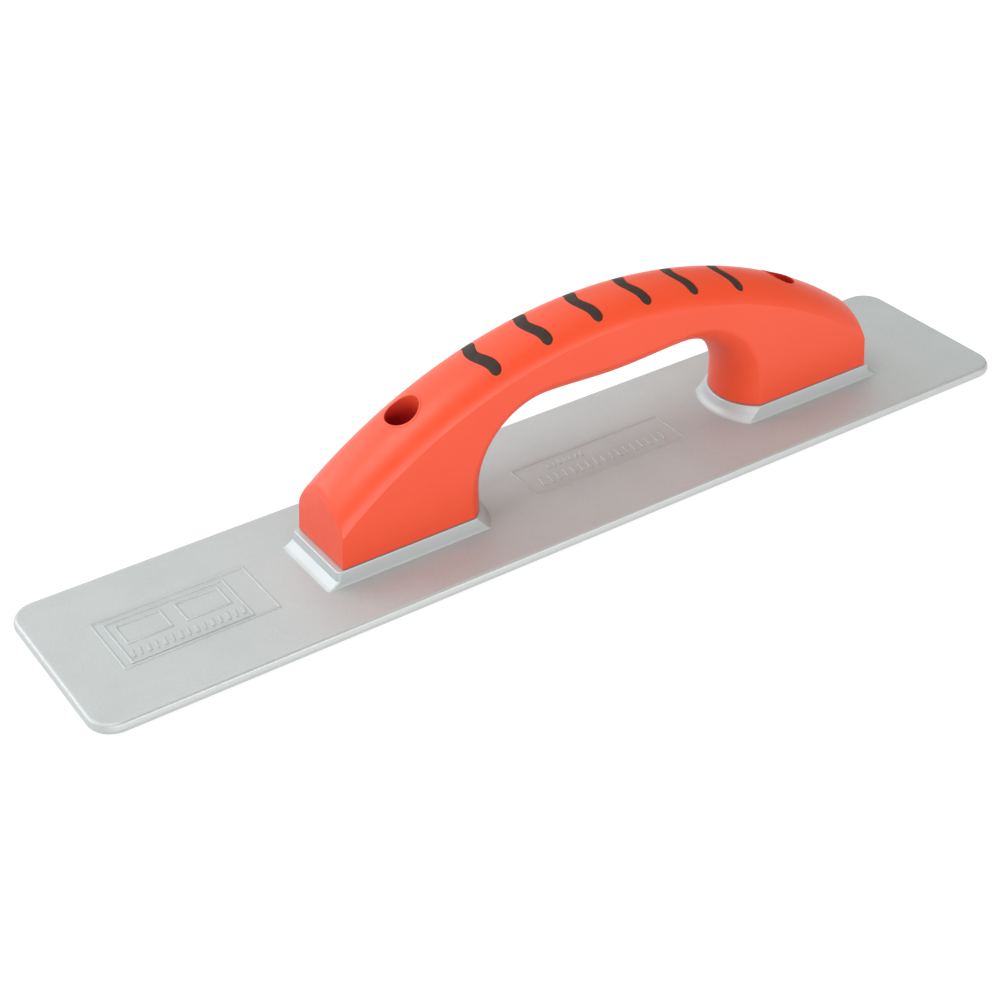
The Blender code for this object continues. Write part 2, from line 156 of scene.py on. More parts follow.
# Fasteners
SCREW_RADIUS = 0.0024
SCREW_TURNS = {"front": 25, "rear": 62}  # degrees that each recess is turned
SCREW_CHAMFER = 0.0002
HEAD_CLEARANCE = 0.0003
HEAD_WALL_SHARE, HEAD_DOME_SHARE = 0.45, 0.55
PLAIN_SHANK = 0.0060
THREAD_PITCH = 0.00106
THREAD_DEPTH = 0.00045
THREAD_SHAPE = ((0, 0), (0.12, 0), (0.5, 1), (0.62, 1))  # shares of the pitch and of the depth
TIP_LENGTH = 0.0016
TIP_CHAMFER = 0.0001
RECESS_DEPTH = 0.0020
RECESS_OVERRUN = 0.0010
RECESS_FLOOR = (0.0010, 0.0008)
RECESS_SHOULDER = (0.0024, 0.0009)
RECESS_MOUTH = (0.0060, 0.0014)
WASHER_HOLE_RADIUS = 0.0028
WASHER_CHAMFER = 0.0001
WASHER_ROLLOVER = 0.0003
WASHER_HOLE_ROLLOVER = 0.0002
FASTENER_SIDES = (("front", -1), ("rear", 1))

# Colours, linear
MAGNESIUM = (0.437, 0.458, 0.460)
MAGNESIUM_CLOUD = (0.405, 0.425, 0.428)
MAGNESIUM_GRAIN = (0.50, 0.52, 0.52)
MAGNESIUM_RUBBED = (0.45, 0.465, 0.465)
# Painted highlight: a lighter copy of the metal for the pads and other raised faces
MAGNESIUM_RAISED_HIGHLIGHT = (0.475, 0.50, 0.51)
MAGNESIUM_PIT = (0.40, 0.40, 0.40)
ORANGE = (0.70, 0.060, 0.0155)
ORANGE_MOTTLE = (0.685, 0.054, 0.0130)
ORANGE_SCUFF = (0.76, 0.12, 0.07)
# Painted shade: a dark red for low inside the counterbores
ORANGE_BORE_SHADE = (0.46, 0.010, 0.012)
RUBBER = (0.030, 0.018, 0.014)
RUBBER_DUST = (0.044, 0.030, 0.024)
ZINC = (0.62, 0.62, 0.63)
ZINC_DULL = (0.45, 0.45, 0.47)
CORE_BLACK = (0.030, 0.030, 0.032)
CORE_FLOW = (0.055, 0.055, 0.058)
PAPER = (0.20, 0.20, 0.20)

# Where the looks change
NOISE_SPREAD = (0.3, 0.7)  # most of a noise's values lie between these
RUBBED_ENDS = (BLADE_LENGTH / 2 - 0.0035, BLADE_LENGTH / 2 - 0.0010)
RUBBED_SIDES = (BLADE_WIDTH / 2 - 0.0030, BLADE_WIDTH / 2 - 0.0010)
# Heights over which raised faces take their painted highlight and their polish
RAISED_HEIGHTS = (BLADE_THICKNESS + 0.0004, BLADE_THICKNESS + 0.0009)
# Where the painted shade inside the counterbores stops, out from each axis and up the wall
BORE_EDGE = (COUNTERBORE_RADIUS + 0.00003, COUNTERBORE_RADIUS + 0.00010)
BORE_FADE_HEIGHTS = (0.047, 0.063)

# Camera and studio
CAMERA_PLACE = (-0.34677, -0.49508, 0.40419)
CAMERA_YAW = math.radians(33.338)
CAMERA_PITCH = math.radians(-34.195)
CAMERA_ROLL = math.radians(-1.18)
CAMERA_LENS = 68.05
SKY_AXIS = (-0.45, 0.60, 0.66)
SKY_SPREAD = (0.1, 0.9)  # from dim to bright, by how far a direction points along the axis
SKY_STRENGTH = (0.30, 1.56)
SKY_DIM = (1.0, 0.97, 0.86, 1)
SKY_BRIGHT = (0.965, 0.985, 1.0, 1)
SKY_LOW_BAND = 0.02  # the sky is as pale as the floor below this rise of a unit direction
FLOOR_SIZE = 60.0
FLOOR_DROP = 0.0002
FLOOR_GLOW = 0.84


# Mesh helpers -----------------------------------------------------------------------------------


def object_from(name, bm):
    """Makes a scene object of a bmesh, which it frees."""
    bmesh.ops.recalc_face_normals(bm, faces=bm.faces)
    mesh = bpy.data.meshes.new(name)
    bm.to_mesh(mesh)
    bm.free()
    obj = bpy.data.objects.new(name, mesh)
    bpy.context.scene.collection.objects.link(obj)
    return obj


def loft(rings, closed=False):
    """Joins closed rings of equal length by quads. It caps them, or joins the last to the first."""
    bm = bmesh.new()
    made = [[bm.verts.new(point) for point in ring] for ring in rings]
    count = len(made[0])
    following = made[1:] + made[:1] if closed else made[1:]
    for lower, upper in zip(made, following):
        for i in range(count):
            j = (i + 1) % count
            bm.faces.new((lower[i], lower[j], upper[j], upper[i]))
    if not closed:
        bm.faces.new(made[0])
        bm.faces.new(made[-1])
    return bm


def lathe(profile, steps=48):
    """Spins a closed or axis-ended profile of (radius, z) points round the Z axis."""
    bm = bmesh.new()
    points = [bm.verts.new((radius, 0, z)) for radius, z in profile]
    edges = [bm.edges.new(pair) for pair in zip(points, points[1:])]
    bmesh.ops.spin(
        bm, geom=points + edges, cent=(0, 0, 0), axis=(0, 0, 1), angle=math.tau, steps=steps,
        use_duplicate=False,
    )
    bmesh.ops.remove_doubles(bm, verts=bm.verts, dist=1e-7)
    return bm


def cylinder(radius, low_z, high_z, x, steps=64):
    """A closed upright cylinder over a point on the X axis."""
    bm = bmesh.new()
    bmesh.ops.create_cone(
        bm, cap_ends=True, segments=steps, radius1=radius, radius2=radius, depth=high_z - low_z
    )
    bmesh.ops.translate(bm, vec=(x, 0, (low_z + high_z) / 2), verts=bm.verts)
    return bm


def shifted(bm, x):
    bmesh.ops.translate(bm, vec=(x, 0, 0), verts=bm.verts)
    return bm


def merged(*parts):
    """One bmesh that holds several closed shells, which it frees."""
    whole = bmesh.new()
    for part in parts:
        mesh = bpy.data.meshes.new("part")
        part.to_mesh(mesh)
        part.free()
        whole.from_mesh(mesh)
        bpy.data.meshes.remove(mesh)
    return whole


def apply_modifiers(obj):
    graph = bpy.context.evaluated_depsgraph_get()
    mesh = bpy.data.meshes.new_from_object(obj.evaluated_get(graph))
    obj.modifiers.clear()
    obj.data = mesh


def combine(obj, operation, tool_bm):
    """Applies one Boolean and removes its tool."""
    tool = object_from("tool", tool_bm)
    modifier = obj.modifiers.new("combine", "BOOLEAN")
    modifier.object = tool
    modifier.operation = operation
    modifier.solver = "EXACT"
    apply_modifiers(obj)
    bpy.data.objects.remove(tool, do_unlink=True)


def bevel_by_weight(obj, width, segments):
    """Rounds the weighted edges, by width where the weight is 1."""
    modifier = obj.modifiers.new("rounding", "BEVEL")
    modifier.limit_method = "WEIGHT"
    modifier.width = width
    modifier.segments = segments
    modifier.use_clamp_overlap = False
    apply_modifiers(obj)


def finish_piece(obj, material, node, sharp=35):
    """Shades the piece, smooth up to sharp degrees, and makes it stand for a CAD node."""
    obj.data.materials.clear()
    obj.data.materials.append(material)
    obj.data.shade_smooth()
    obj.data.set_sharp_from_angle(angle=math.radians(sharp))
    modifier = obj.modifiers.new("weighted", "WEIGHTED_NORMAL")
    modifier.keep_sharp = True
    modifier.weight = 80
    apply_modifiers(obj)
    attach(obj, "root")
    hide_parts(node)


def arc(centre, radius, start, end, steps):
    """Points on a circle in the plane, from one angle to another."""
    return [
        (
            centre[0] + radius * math.cos(start + (end - start) * i / steps),
            centre[1] + radius * math.sin(start + (end - start) * i / steps),
        )
        for i in range(steps + 1)
    ]


# Materials --------------------------------------------------------------------------------------


class Surface:
    """A node material on a Principled shader, built up by short calls."""

    def __init__(self, name, colour, roughness, metallic=0.0):
        self.material = bpy.data.materials.new(name)
        self.material.use_nodes = True
        self.nodes = self.material.node_tree.nodes
        self.links = self.material.node_tree.links
        self.shader = self.nodes["Principled BSDF"]
        self.shader.inputs["Base Color"].default_value = (*colour, 1)
        self.shader.inputs["Roughness"].default_value = roughness
        self.shader.inputs["Metallic"].default_value = metallic
        self.place = self.nodes.new("ShaderNodeTexCoord").outputs["Object"]
        self.bumps = None

    def mapped(self, scale):
        """The object's own coordinates, scaled along each axis."""
        mapping = self.nodes.new("ShaderNodeMapping")
        mapping.inputs["Scale"].default_value = scale
        self.links.new(self.place, mapping.inputs["Vector"])
        return mapping.outputs["Vector"]

    def noise(self, size, detail=3.0, stretch=(1, 1, 1)):
        """Noise whose blobs are about size metres across, stretched along the axes."""
        node = self.nodes.new("ShaderNodeTexNoise")
        node.inputs["Scale"].default_value = 1.0
        node.inputs["Detail"].default_value = detail
        node.inputs["Roughness"].default_value = 0.55
        scale = tuple(1 / (size * share) for share in stretch)
        self.links.new(self.mapped(scale), node.inputs["Vector"])
        return node.outputs["Fac"]

    def ramp(self, value, low, high, low_out=0.0, high_out=1.0):
        """Eases a value from low_out, at low, to high_out, at high."""
        node = self.nodes.new("ShaderNodeMapRange")
        node.interpolation_type = "SMOOTHSTEP"
        for key, number in zip(
            ("From Min", "From Max", "To Min", "To Max"), (low, high, low_out, high_out)
        ):
            node.inputs[key].default_value = number
        self.links.new(value, node.inputs["Value"])
        return node.outputs["Result"]

    def maths(self, operation, first, second=0.0):
        """One Math node on sockets or numbers. Some operations leave the second aside."""
        node = self.nodes.new("ShaderNodeMath")
        node.operation = operation
        for socket, value in zip(node.inputs, (first, second)):
            if isinstance(value, (int, float)):
                socket.default_value = value
            else:
                self.links.new(value, socket)
        return node.outputs["Value"]

    def tint(self, mask, colour):
        """Lays a colour over the base colour where the mask is 1."""
        node = self.nodes.new("ShaderNodeMix")
        node.data_type = "RGBA"
        base = self.shader.inputs["Base Color"]
        if base.is_linked:
            self.links.new(base.links[0].from_socket, node.inputs["A"])
        else:
            node.inputs["A"].default_value = base.default_value
        node.inputs["B"].default_value = (*colour, 1)
        self.links.new(mask, node.inputs["Factor"])
        self.links.new(node.outputs["Result"], base)

    def vary_roughness(self, noise, low, high):
        """Takes the roughness from low to high with the noise."""
        self.links.new(self.ramp(noise, *NOISE_SPREAD, low, high), self.shader.inputs["Roughness"])

    def bump(self, height, distance, strength):
        """Adds a bump on top of those that are there."""
        node = self.nodes.new("ShaderNodeBump")
        node.inputs["Strength"].default_value = strength
        node.inputs["Distance"].default_value = distance
        self.links.new(height, node.inputs["Height"])
        if self.bumps:
            self.links.new(self.bumps, node.inputs["Normal"])
        self.bumps = node.outputs["Normal"]
        self.links.new(self.bumps, self.shader.inputs["Normal"])

    def polish(self, mask, share):
        """Lowers the roughness by share where the mask is 1."""
        rough = self.shader.inputs["Roughness"]
        kept = self.maths("SUBTRACT", 1.0, self.maths("MULTIPLY", mask, share))
        self.links.new(self.maths("MULTIPLY", rough.links[0].from_socket, kept), rough)

    def along(self, axis):
        """The object's own coordinate along one axis."""
        split = self.nodes.new("ShaderNodeSeparateXYZ")
        self.links.new(self.place, split.inputs["Vector"])
        return split.outputs[axis]

    def far_from_middle(self, axis, start, end):
        """1 beyond end and 0 within start, measured both ways along one axis."""
        return self.ramp(self.maths("ABSOLUTE", self.along(axis)), start, end)


def magnesium_surface():
    """Satin cast metal: fine grain, faint clouds, small pits, rubbed rims, polished raised faces, and a
    painted highlight that makes the raised faces lighter.
    """
    metal = Surface("satin_magnesium", MAGNESIUM, roughness=0.60, metallic=0.45)
    clouds = metal.noise(0.022, detail=4.0)
    metal.tint(metal.ramp(clouds, 0.40, 0.75, high_out=0.5), MAGNESIUM_CLOUD)
    grain = metal.noise(0.0006, detail=4.0)
    metal.tint(metal.ramp(grain, 0.45, 0.75, high_out=0.60), MAGNESIUM_GRAIN)
    rim = metal.maths(
        "MAXIMUM",
        metal.far_from_middle("X", *RUBBED_ENDS),
        metal.far_from_middle("Y", *RUBBED_SIDES),
    )
    wear = metal.ramp(metal.noise(0.006), 0.35, 0.65, low_out=0.25, high_out=0.6)
    metal.tint(metal.maths("MULTIPLY", rim, wear), MAGNESIUM_RUBBED)
    pits = metal.ramp(metal.noise(0.0026, detail=1.0), 0.79, 0.84)
    metal.tint(metal.maths("MULTIPLY", pits, 0.20), MAGNESIUM_PIT)
    metal.vary_roughness(metal.noise(0.012, stretch=(3, 1, 1)), 0.54, 0.62)
    raised = metal.ramp(metal.along("Z"), *RAISED_HEIGHTS)
    # Painted highlight: the raised faces are made lighter
    metal.tint(raised, MAGNESIUM_RAISED_HIGHLIGHT)
    metal.polish(rim, 0.28)
    metal.polish(raised, 0.20)
    waves = metal.noise(0.0140, detail=2.0, stretch=(1.6, 1, 1))
    metal.bump(waves, distance=0.00010, strength=0.30)
    metal.bump(grain, distance=0.00005, strength=0.35)
    metal.bump(metal.maths("SUBTRACT", 1.0, pits), distance=0.00008, strength=0.25)
    return metal.material


def bore_shade_mask(surface):
    """Painted shade: 1 low on the walls of both counterbores, fading out towards their rims."""
    from_middle = surface.maths("SUBTRACT", surface.along("X"), HANDLE_SHIFT)
    from_axis = surface.maths("SUBTRACT", surface.maths("ABSOLUTE", from_middle), SCREW_X)
    square = surface.maths("MULTIPLY", from_axis, from_axis)
    across = surface.maths("MULTIPLY", surface.along("Y"), surface.along("Y"))
    reach = surface.maths("SQRT", surface.maths("ADD", square, across))
    inside = surface.ramp(reach, *BORE_EDGE, low_out=1.0, high_out=0.0)
    deep = surface.ramp(surface.along("Z"), *BORE_FADE_HEIGHTS, low_out=1.0, high_out=0.0)
    return surface.maths("MULTIPLY", inside, deep)


def orange_surface():
    """Soft moulded plastic: spark-eroded grain, slight mottling, paler scuffs, and painted shade low
    inside the counterbores.
    """
    plastic = Surface("orange_soft_plastic", ORANGE, roughness=0.42)
    plastic.shader.inputs["Specular IOR Level"].default_value = 0.50
    plastic.tint(plastic.ramp(plastic.noise(0.018), 0.42, 0.72, high_out=0.5), ORANGE_MOTTLE)
    scuffs = plastic.noise(0.0040, detail=5.0, stretch=(4, 1, 1))
    plastic.tint(plastic.ramp(scuffs, 0.66, 0.78, high_out=0.10), ORANGE_SCUFF)
    # Painted shade: a dark red low inside both counterbores
    plastic.tint(bore_shade_mask(plastic), ORANGE_BORE_SHADE)
    plastic.vary_roughness(plastic.noise(0.007), 0.36, 0.43)
    plastic.bump(plastic.noise(0.0110, detail=2.0), distance=0.00008, strength=0.12)
    plastic.bump(plastic.noise(0.00045), distance=0.00003, strength=0.14)
    return plastic.material


def stripe_surface():
    """Dark soft rubber with a fine grain and dusty patches."""
    rubber = Surface("dark_stripe_rubber", RUBBER, roughness=0.62)
    rubber.shader.inputs["Specular IOR Level"].default_value = 0.28
    dust = rubber.noise(0.0030, detail=4.0)
    rubber.tint(rubber.ramp(dust, 0.45, 0.75, high_out=0.6), RUBBER_DUST)
    rubber.vary_roughness(rubber.noise(0.0020), 0.56, 0.68)
    rubber.bump(rubber.noise(0.00035), distance=0.00004, strength=0.25)
    return rubber.material


def steel_surface():
    """Bright zinc plate with fine turning marks and dulled patches."""
    steel = Surface("zinc_plated_steel", ZINC, roughness=0.26, metallic=1.0)
    dull = steel.noise(0.0012, detail=4.0)
    steel.tint(steel.ramp(dull, 0.50, 0.75, high_out=0.6), ZINC_DULL)
    steel.vary_roughness(steel.noise(0.0009), 0.22, 0.36)
    marks = steel.noise(0.00012, detail=2.0, stretch=(1, 1, 4))
    steel.bump(marks, distance=0.00002, strength=0.3)
    return steel.material


def core_surface():
    """Black glass-filled plastic with flow marks."""
    black = Surface("black_hard_plastic", CORE_BLACK, roughness=0.40)
    flow = black.noise(0.0060, detail=4.0, stretch=(3, 1, 1))
    black.tint(black.ramp(flow, 0.5, 0.8), CORE_FLOW)
    black.vary_roughness(black.noise(0.004), 0.34, 0.50)
    black.bump(black.noise(0.00050), distance=0.00003, strength=0.25)
    return black.material


# Blade ------------------------------------------------------------------------------------------


def rounded_rectangle(inset, z, steps=12):
    """The blade's outline at height z, moved in by inset, with steps in each corner."""
    x = BLADE_LENGTH / 2 - inset
    y = BLADE_WIDTH / 2 - inset
    radius = CORNER_RADIUS - inset
    ring = []
    for turn, (sx, sy) in enumerate(((1, 1), (-1, 1), (-1, -1), (1, -1))):
        centre = (sx * (x - radius), sy * (y - radius))
        start = math.pi / 2 * turn
        ring += [(px, py, z) for px, py in arc(centre, radius, start, start + math.pi / 2, steps)]
    return ring


def rim_profile():
    """(inset, z) from the working face, round the rim, to the top face."""
    lower = arc(
        (RIM_BOTTOM_RADIUS, RIM_BOTTOM_RADIUS), RIM_BOTTOM_RADIUS, math.pi * 1.5, math.pi, 8
    )
    seam = [
        (SEAM_DEPTH / 2, SEAM_Z - SEAM_HALF_HEIGHT),
        (SEAM_DEPTH * 1.5, SEAM_Z),
        (SEAM_DEPTH, SEAM_Z + SEAM_HALF_HEIGHT),
    ]
    start = math.pi - math.atan2(RIM_SIDE_DRAFT, BLADE_THICKNESS - SEAM_Z)
    centre = (RIM_SIDE_DRAFT + RIM_TOP_RADIUS, BLADE_THICKNESS - RIM_TOP_RADIUS)
    upper = arc(centre, RIM_TOP_RADIUS, start, math.pi / 2, 8)
    return lower + seam + upper


def fillet_reach(radius, z):
    """How far a concave fillet at a pad's foot reaches out at height z."""
    rise = max(radius - max(z - BLADE_THICKNESS, 0.0), 0.0)
    return radius - math.sqrt(max(radius * radius - rise * rise, 0.0))


def foot_reach(z):
    """How far the sloping foot of a pad's outer end reaches out at height z."""
    share = 1 - max(z - BLADE_THICKNESS, 0.0) / PAD_FOOT_RISE
    return PAD_FOOT_REACH * max(share, 0.0)


def pad_outline(z, inset=0.0):
    """The right pad's outline at height z, anticlockwise, with a bowed inner end."""
    down = min((PAD_TOP - z) / (PAD_TOP - BLADE_THICKNESS), 1.0)
    spread = fillet_reach(PAD_INNER_FILLET, z)
    outer = PAD_OUTER_END + PAD_OUTER_DRAFT * down + foot_reach(z) - inset
    side = PAD_HALF_WIDTH + PAD_SIDE_DRAFT * down + fillet_reach(PAD_SIDE_FILLET, z) - inset
    inner = PAD_INNER_CORNER - PAD_INNER_FLARE * down + inset
    bow = PAD_TOP_BOW + (PAD_BASE_BOW - PAD_TOP_BOW) * down + spread / 2
    radius = PAD_CORNER_RADIUS
    near = arc((outer - radius, -side + radius), radius, -math.pi / 2, 0, 8)
    far = arc((outer - radius, side - radius), radius, 0, math.pi / 2, 8)
    bow_radius = (side * side + bow * bow) / (2 * bow)
    half = math.asin(side / bow_radius)
    end = arc((inner - bow + bow_radius, 0), bow_radius, math.pi - half, math.pi + half, 32)
    return near + far + end


def pad_levels():
    """(z, inset) from the rounded top rim, down the wall and the foot, to inside the blade."""
    radius = PAD_RIM_RADIUS
    rim = [
        (PAD_TOP - radius + radius * math.cos(turn), radius - radius * math.sin(turn))
        for turn in (math.pi / 2 * i / 3 for i in range(4))
    ]
    fillet_top = BLADE_THICKNESS + PAD_INNER_FILLET
    turns = [math.pi / 2 * i / 10 for i in range(10)]
    inner = [fillet_top - PAD_INNER_FILLET * math.sin(turn) for turn in turns]
    side = [BLADE_THICKNESS + PAD_SIDE_FILLET * (1 - math.sin(turn)) for turn in turns[::3]]
    heights = sorted(inner + side + [BLADE_THICKNESS + PAD_FOOT_RISE], reverse=True)
    heights += [BLADE_THICKNESS, BLADE_THICKNESS - PAD_EMBED]
    return rim + [(z, 0.0) for z in heights]


def pad_solid(end):
    """The pad at the right end of the handle (1), or its twin turned half round at the left (-1)."""
    rings = [
        [(HANDLE_SHIFT + end * x, end * y, z) for x, y in pad_outline(z, inset)]
        for z, inset in pad_levels()
    ]
    return loft(rings)


def ridge_loop(corners):
    """A thin round-topped ridge on the blade, along a closed convex outline."""
    centre = sum((Vector(corner) for corner in corners), Vector((0, 0))) / len(corners)
    low = BLADE_THICKNESS - RIDGE_HEIGHT
    rings = []
    for share in RIDGE_STOPS:
        z = low if share in (0, 1) else BLADE_THICKNESS + RIDGE_HEIGHT * math.sin(math.pi * share)
        ring = []
        for corner in corners:
            out = Vector(corner) - centre
            scale = Vector((1 - share * RIDGE_WIDTH / abs(out.x), 1 - share * RIDGE_WIDTH / abs(out.y)))
            ring.append((centre.x + out.x * scale.x, centre.y + out.y * scale.y, z))
        rings.append(ring)
    return loft(rings, closed=True)


def rectangle(x, y, length, width):
    """Four corners, anticlockwise, round a middle."""
    return [
        (x + sx * length / 2, y + sy * width / 2) for sx, sy in ((-1, -1), (1, -1), (1, 1), (-1, 1))
    ]


def raised_bar(x, y, length, width):
    """A low leaning bar with sloping sides."""
    rings = []
    for grow, z in (
        (BAR_FLARE, BLADE_THICKNESS - RIDGE_HEIGHT),
        (0.0, BLADE_THICKNESS + RIDGE_HEIGHT * 0.6),
        (-BAR_TAPER, BLADE_THICKNESS + RIDGE_HEIGHT),
    ):
        corners = rectangle(0, 0, length + 2 * grow, width + 2 * grow)
        rings.append([(x + cx + BAR_LEAN * cy / width, y + cy, z) for cx, cy in corners])
    return loft(rings)


def bar_row(around, shift, count, pitch, height):
    """A plain row of short bars inside a frame, broad and narrow in turn."""
    x, y = around[0] + shift[0], around[1] + shift[1]
    bars = []
    for i in range(count):
        length = pitch * (NARROW_BAR if i % 2 else BROAD_BAR)
        bars.append(raised_bar(x + (i - (count - 1) / 2) * pitch, y, length, height))
    return bars


def cast_marks():
    """Plain frames and bars, where the casting carries its markings."""
    x, y, length, width = LEFT_FRAME
    inner_place = (x + INNER_FRAME_SHIFT[0], y + INNER_FRAME_SHIFT[1])
    inner_size = (length - INNER_FRAME_TRIM[0], width - INNER_FRAME_TRIM[1])
    outlines = [rectangle(*LEFT_FRAME), rectangle(*inner_place, *inner_size)]
    outlines += [rectangle(x + dx, y + dy, *PANEL_SIZE) for dx, dy in PANEL_SHIFTS]
    outlines.append(rectangle(*MIDDLE_FRAME))
    marks = [ridge_loop(outline) for outline in outlines]
    marks += bar_row(LEFT_FRAME, *LEFT_ROW)
    for row in MIDDLE_ROWS:
        marks += bar_row(MIDDLE_FRAME, *row)
    return merged(*marks)


def build_blade(material):
    blade = object_from(
        "blade_casting", loft([rounded_rectangle(inset, z) for inset, z in rim_profile()])
    )
    combine(blade, "UNION", merged(pad_solid(-1), pad_solid(1)))
    combine(blade, "UNION", cast_marks())
    holes = [
        cylinder(PAD_HOLE_RADIUS, PAD_HOLE_FLOOR_Z, FOOT_Z, HANDLE_SHIFT + side * SCREW_X)
        for side in (-1, 1)
    ]
    combine(blade, "DIFFERENCE", merged(*holes))
    finish_piece(blade, material, "float_blade", sharp=30)


# Handle -----------------------------------------------------------------------------------------


def half_width(z, inset=0.0):
    """Half the handle's width between its drafted sides, at height z."""
    return FOOT_HALF_WIDTH - math.tan(SIDE_DRAFT) * (z - FOOT_Z) - inset


def lift(angle, rise, half_angle):
    """The height of a crown at an angle across it: rise in the middle and 0 at half_angle."""
    return rise * (math.cos(angle) - math.cos(half_angle)) / (1 - math.cos(half_angle))


def crest_point(turn, angle, inset, drop=0.0):
    """A point on the handle's back: turn is along the arch, angle across it, and drop below it."""
    base = CREST_RADIUS - inset - drop
    width = half_width(CREST_CENTRE_Z + base * math.cos(turn), inset)
    radius = base + lift(angle, CROWN_RISE, CROWN_HALF_ANGLE)
    return Vector(
        (
            radius * math.sin(turn),
            width * math.sin(angle) / math.sin(CROWN_HALF_ANGLE),
            CREST_CENTRE_Z + radius * math.cos(turn),
        )
    )


def crest_end(angle, inset, drop=0.0):
    """The turn at which a line along the back meets the drafted end face."""
    low, high = CREST_END_RANGE
    for _ in range(40):
        turn = (low + high) / 2
        point = crest_point(turn, angle, inset, drop)
        limit = HANDLE_HALF_LENGTH - inset - (point.z - FOOT_Z) * math.tan(END_DRAFT)
        low, high = (turn, high) if point.x < limit else (low, turn)
    return low


def back_line(angle, inset, along, rounded):
    """Points along the handle's back, rolled over into both end faces if rounded."""
    if not rounded:
        end = crest_end(angle, inset)
        return [crest_point(end * (2 * i / along - 1), angle, inset) for i in range(along + 1)]
    roll = END_ROUND + (END_CROWN_ROUND - END_ROUND) * lift(angle, 1.0, CROWN_HALF_ANGLE)
    end = crest_end(angle, inset) - roll / CREST_RADIUS
    middle = [crest_point(end * (2 * i / along - 1), angle, inset) for i in range(along + 1)]
    tip = []
    for k in range(1, ROLL_STEPS + 1):
        share = math.pi / 2 * k / ROLL_STEPS
        drop = roll * (1 - math.cos(share))
        turn = crest_end(angle, inset, drop) - roll * (1 - math.sin(share)) / CREST_RADIUS
        tip.append(crest_point(turn, angle, inset, drop))
    return [Vector((-p.x, p.y, p.z)) for p in tip[::-1]] + middle + tip


def crown_point(x, y):
    """The point on the handle's back over a point in its plan, and the surface normal there."""
    turn = math.asin(x / CREST_RADIUS)
    for _ in range(6):
        width = half_width(CREST_CENTRE_Z + CREST_RADIUS * math.cos(turn))
        angle = math.asin(y * math.sin(CROWN_HALF_ANGLE) / width)
        turn = math.asin(x / (CREST_RADIUS + lift(angle, CROWN_RISE, CROWN_HALF_ANGLE)))
    step = 1e-4
    point = crest_point(turn, angle, 0.0)
    along = crest_point(turn + step, angle, 0.0) - point
    across = crest_point(turn, angle + step, 0.0) - point
    return point, along.cross(across).normalized()


def gap_path(inset, foot_z, arc_steps, belly_steps):
    """Crease points and normals round the finger opening, from its left foot to its right."""
    arc_x = GAP_HALF_LENGTH - GAP_ARC_RADIUS
    half = []
    for i in range(belly_steps):
        x = arc_x * i / belly_steps
        drop = GAP_BELLY_DROP * (1 + math.cos(math.pi * x / arc_x)) / 2
        half.append((Vector((x, GAP_ARC_CENTRE_Z + GAP_ARC_RADIUS - drop)), Vector((0, -1))))
    for i in range(arc_steps + 1):
        turn = math.pi / 2 * i / arc_steps
        normal = Vector((-math.sin(turn), -math.cos(turn)))
        half.append((Vector((arc_x, GAP_ARC_CENTRE_Z)) - normal * GAP_ARC_RADIUS, normal))
    half.append((Vector((GAP_HALF_LENGTH, foot_z)), Vector((-1, 0))))
    right = [(point - normal * inset, normal) for point, normal in half]
    mirror = [(Vector((-p.x, p.y)), Vector((-n.x, n.y))) for p, n in right[:0:-1]]
    return mirror + right


def gap_point(point, normal, angle, inset):
    """A point on the crowned inner face, off a point of the crease path."""
    width = half_width(point.y, inset)
    place = point + normal * lift(angle, INNER_CROWN_RISE, INNER_CROWN_HALF_ANGLE)
    across = width * math.sin(angle) / math.sin(INNER_CROWN_HALF_ANGLE)
    return Vector((place.x, across, place.y))


def mark_run(bm, layer, verts, width):
    """Gives a run of edges their bevel weight: width as a share of the gap crease's, the widest."""
    for pair in zip(verts, verts[1:]):
        edge = bm.edges.get(pair)
        edge[layer] = width / GAP_CREASE_ROUND


def handle_solid(inset, foot_z, along=100, across=28, rounded=True):
    """The arch as two crowned strips, with flat sides, ends and feet between them."""
    bm = bmesh.new()
    weight = bm.edges.layers.float.new("bevel_weight_edge")
    angles = [CROWN_HALF_ANGLE * (2 * j / across - 1) for j in range(across + 1)]
    back = [
        [bm.verts.new(point) for point in back_line(angle, inset, along, rounded)]
        for angle in angles
    ]
    turns = [INNER_CROWN_HALF_ANGLE * (2 * j / across - 1) for j in range(across + 1)]
    path = gap_path(inset, foot_z, along // 4, along // 6)
    gap = [[bm.verts.new(gap_point(p, n, turn, inset)) for p, n in path] for turn in turns]
    for strip in (back, gap):
        for near, far in zip(strip, strip[1:]):
            for i in range(len(near) - 1):
                bm.faces.new((near[i], near[i + 1], far[i + 1], far[i]))
    toe_x = HANDLE_HALF_LENGTH - inset - (foot_z - FOOT_Z) * math.tan(END_DRAFT)
    toes = {
        (end, side): bm.verts.new((end * toe_x, side * half_width(foot_z, inset), foot_z))
        for end in (-1, 1)
        for side in (-1, 1)
    }
    for side, row in ((-1, 0), (1, -1)):
        bm.faces.new(back[row] + [toes[1, side]] + gap[row][::-1] + [toes[-1, side]])
    for end, column in ((-1, 0), (1, -1)):
        bm.faces.new([toes[end, -1]] + [line[column] for line in back] + [toes[end, 1]])
        bm.faces.new([toes[end, -1]] + [line[column] for line in gap] + [toes[end, 1]])
    if rounded:
        mark_run(bm, weight, back[0][ROLL_STEPS:-ROLL_STEPS], CREASE_ROUND)
        mark_run(bm, weight, back[-1][ROLL_STEPS:-ROLL_STEPS], CREASE_ROUND)
        mark_run(bm, weight, gap[0], GAP_CREASE_ROUND)
        mark_run(bm, weight, gap[-1], GAP_CREASE_ROUND)
    return bm


def stripe_spine(y):
    """How far a stripe's centre line waves along the handle at y."""
    return -STRIPE_WAVE * math.cos(math.tau * y / STRIPE_WAVELENGTH)


